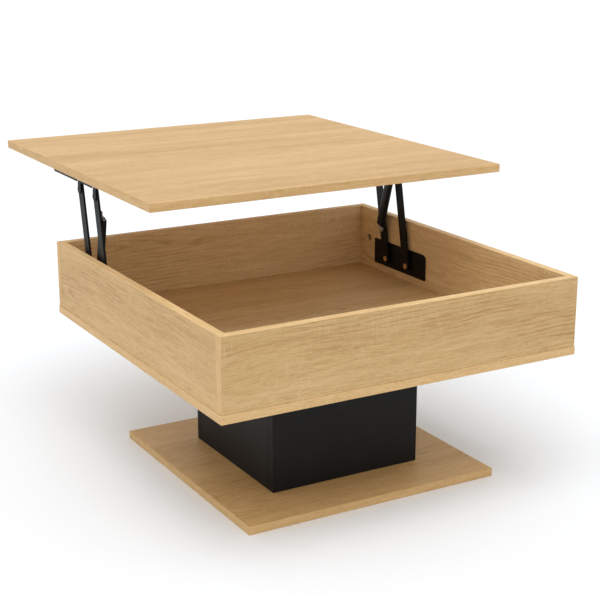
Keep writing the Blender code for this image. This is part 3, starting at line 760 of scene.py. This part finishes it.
def add_eye_plate(bm, place, near):
    """The steel eye that holds the sheath on its rivet: a ring and a tail, 2 mm thick."""
    out = place["out"]
    inner_x = out - place["sign"] * 0.002
    steps = 28
    ring_out, ring_in = 0.008, 0.0043
    hole = [(ring_in * math.cos(a), ring_in * math.sin(a))
            for a in (math.tau * k / steps for k in range(steps))]
    outline = [(ring_out * math.cos(a), ring_out * math.sin(a))
               for a in (math.pi / 2 + math.pi * k / 14 for k in range(15))]
    outline += [(near + 0.006, -ring_out + 0.0015), (near + 0.006, ring_out - 0.0015)]
    layers = []
    for x in (out, inner_x):
        outer_verts = [bm.verts.new(at(place, x, a, s)) for a, s in outline]
        inner_verts = [bm.verts.new(at(place, x, a, s)) for a, s in hole]
        edges = [bm.edges.new((loop[k], loop[(k + 1) % len(loop)]))
                 for loop in (outer_verts, inner_verts) for k in range(len(loop))]
        filled = bmesh.ops.triangle_fill(bm, use_beauty=True, edges=edges)
        for face in filled["geom"]:
            if isinstance(face, bmesh.types.BMFace):
                face.material_index = 1
        layers.append((outer_verts, inner_verts))
    for loops in zip(*layers):
        first, second = loops
        for k in range(len(first)):
            after = (k + 1) % len(first)
            bm.faces.new((first[k], first[after], second[after], second[k])).material_index = 1


def coils_piece(name, place, materials):
    """Two close-wound coils whose ends loop over a black yoke, and the wire eye round the pin."""
    centre_x, radius = (place["out"] + place["inn"]) / 2, COIL_RADIUS
    end = place["reach"] - HOOK_LENGTH
    bm = bmesh.new()
    steps = 14
    count = int(COIL_LENGTH / COIL_PITCH) * steps
    for across in (-COIL_OFFSET, COIL_OFFSET):
        helix = []
        for k in range(count + 1):
            a = math.tau * k / steps
            along = end - COIL_LENGTH + COIL_LENGTH * k / count
            helix.append(at(place, centre_x + radius * math.cos(a), along, across + radius * math.sin(a)))
        add_tube(bm, helix, COIL_WIRE, 6)
        loop = [at(place, centre_x + radius * math.cos(a), end + radius * math.sin(a), across)
                for a in (math.pi * k / 12 for k in range(13))]
        add_tube(bm, loop, COIL_WIRE, 8)
    middle_of_loops = end + 0.0012
    yoke = [at(place, centre_x, middle_of_loops, across * 1.9) for across in (-COIL_OFFSET, 0.0, COIL_OFFSET)]
    add_tube(bm, yoke, 0.0011, 10, 1)
    eye_x, reach = place["out"] - place["sign"] * 0.0011, place["reach"]
    turn = [at(place, eye_x, reach + EYE_RADIUS * math.cos(a), EYE_RADIUS * math.sin(a))
            for a in (math.radians(190 + 340 * k / 28) for k in range(29))]
    stem = [at(place, centre_x, middle_of_loops, 0.0),
            at(place, (centre_x + eye_x) / 2, end + 0.0020, 0.0)]
    add_tube(bm, stem + turn, 0.0010, 10)
    bmesh.ops.recalc_face_normals(bm, faces=bm.faces)
    node = name + "_tension_spring"
    to_object(node + "_coils", bm, [materials["spring_steel"], materials["black_steel"]], body_of(node),
              [node], 40.0)


def pin_piece(name, place, materials):
    """The stud on the arm: flush outside, a collar on the arm's face, then the neck and its head."""
    node = name + "_spring_pin"
    low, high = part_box(node)
    sign = place["sign"]
    centre = (low + high) / 2
    outer = high.x if sign > 0 else low.x
    collar = high.x - low.x
    neck_end = abs(outer - place["out"]) + 0.0027
    tip = neck_end + 0.0012
    profile = [(0.0, 0.0), (0.0, 0.0025), (collar - 0.0012, 0.0025), (collar - 0.0012, 0.0045),
               (collar, 0.0045), (collar, 0.0020), (neck_end, 0.0020), (neck_end, 0.0034),
               (tip - 0.0004, 0.0034), (tip, 0.0028), (tip, 0.0)]
    bm = bmesh.new()
    add_turned(bm, profile, Vector((outer, centre.y, centre.z)), (-sign, 0, 0), 32)
    bmesh.ops.recalc_face_normals(bm, faces=bm.faces)
    for face in bm.faces:
        face.material_index = 1 if abs(face.calc_center_median().x - outer) < 0.0001 else 0
    looks = [materials["zinc"], materials["black_steel"]]
    to_object(node + "_turned", bm, looks, body_of(node), [node])


# ------------------------------------------------------------------- stage

def floor():
    bm = bmesh.new()
    bmesh.ops.create_grid(bm, x_segments=4, y_segments=4, size=60.0)
    mesh = bpy.data.meshes.new("floor")
    bm.to_mesh(mesh)
    bm.free()
    shader = Shader("floor_white", roughness=0.7, specular=0.2)
    shader.colour(FLOOR_WHITE)
    mesh.materials.append(shader.material)
    ground = bpy.data.objects.new("floor", mesh)
    bpy.context.collection.objects.link(ground)
    ground.location.z = cad_bounds[0].z


def light_and_world():
    world = bpy.data.worlds.new("studio")
    bpy.context.scene.world = world
    world.use_nodes = True
    background = world.node_tree.nodes["Background"]
    background.inputs["Color"].default_value = (1.0, 1.0, 1.0, 1.0)
    background.inputs["Strength"].default_value = SKY_STRENGTH
    lamp = bpy.data.lights.new("overhead", "SUN")
    lamp.energy = SUN_STRENGTH
    lamp.angle = math.radians(SUN_SPREAD)
    overhead = bpy.data.objects.new("overhead", lamp)
    bpy.context.collection.objects.link(overhead)
    overhead.rotation_euler = (math.radians(SUN_TILT[0]), math.radians(SUN_TILT[1]), 0.0)


def camera():
    lens = bpy.data.cameras.new("camera")
    lens.sensor_width = SENSOR
    lens.lens = FOCAL_LENGTH
    viewer = bpy.data.objects.new("camera", lens)
    bpy.context.collection.objects.link(viewer)
    viewer.location = VIEW_PLACE
    viewer.rotation_euler = (math.radians(90.0 - VIEW_DOWN), 0.0, math.radians(VIEW_TURN))
    bpy.context.scene.camera = viewer


def main():
    bpy.context.scene.view_settings.view_transform = "Standard"
    camera()
    light_and_world()
    floor()
    materials = {
        "black_board": black_board(),
        "black_steel": powder_coat(),
        "black_sheath": sheath(),
        "rivet_bronze": plated("bronze_plate", BRONZE, 0.30),
        "zinc": plated("zinc_plate", ZINC, 0.30),
        "cast_zinc": plated("cast_zinc", CAST_ZINC, 0.45),
        "spring_steel": plated("spring_wire", WIRE, 0.24),
    }
    boards(materials)
    steelwork(materials)
    rivets(materials)
    screws(materials)
    cams(materials)
    spring_units(materials)


main()
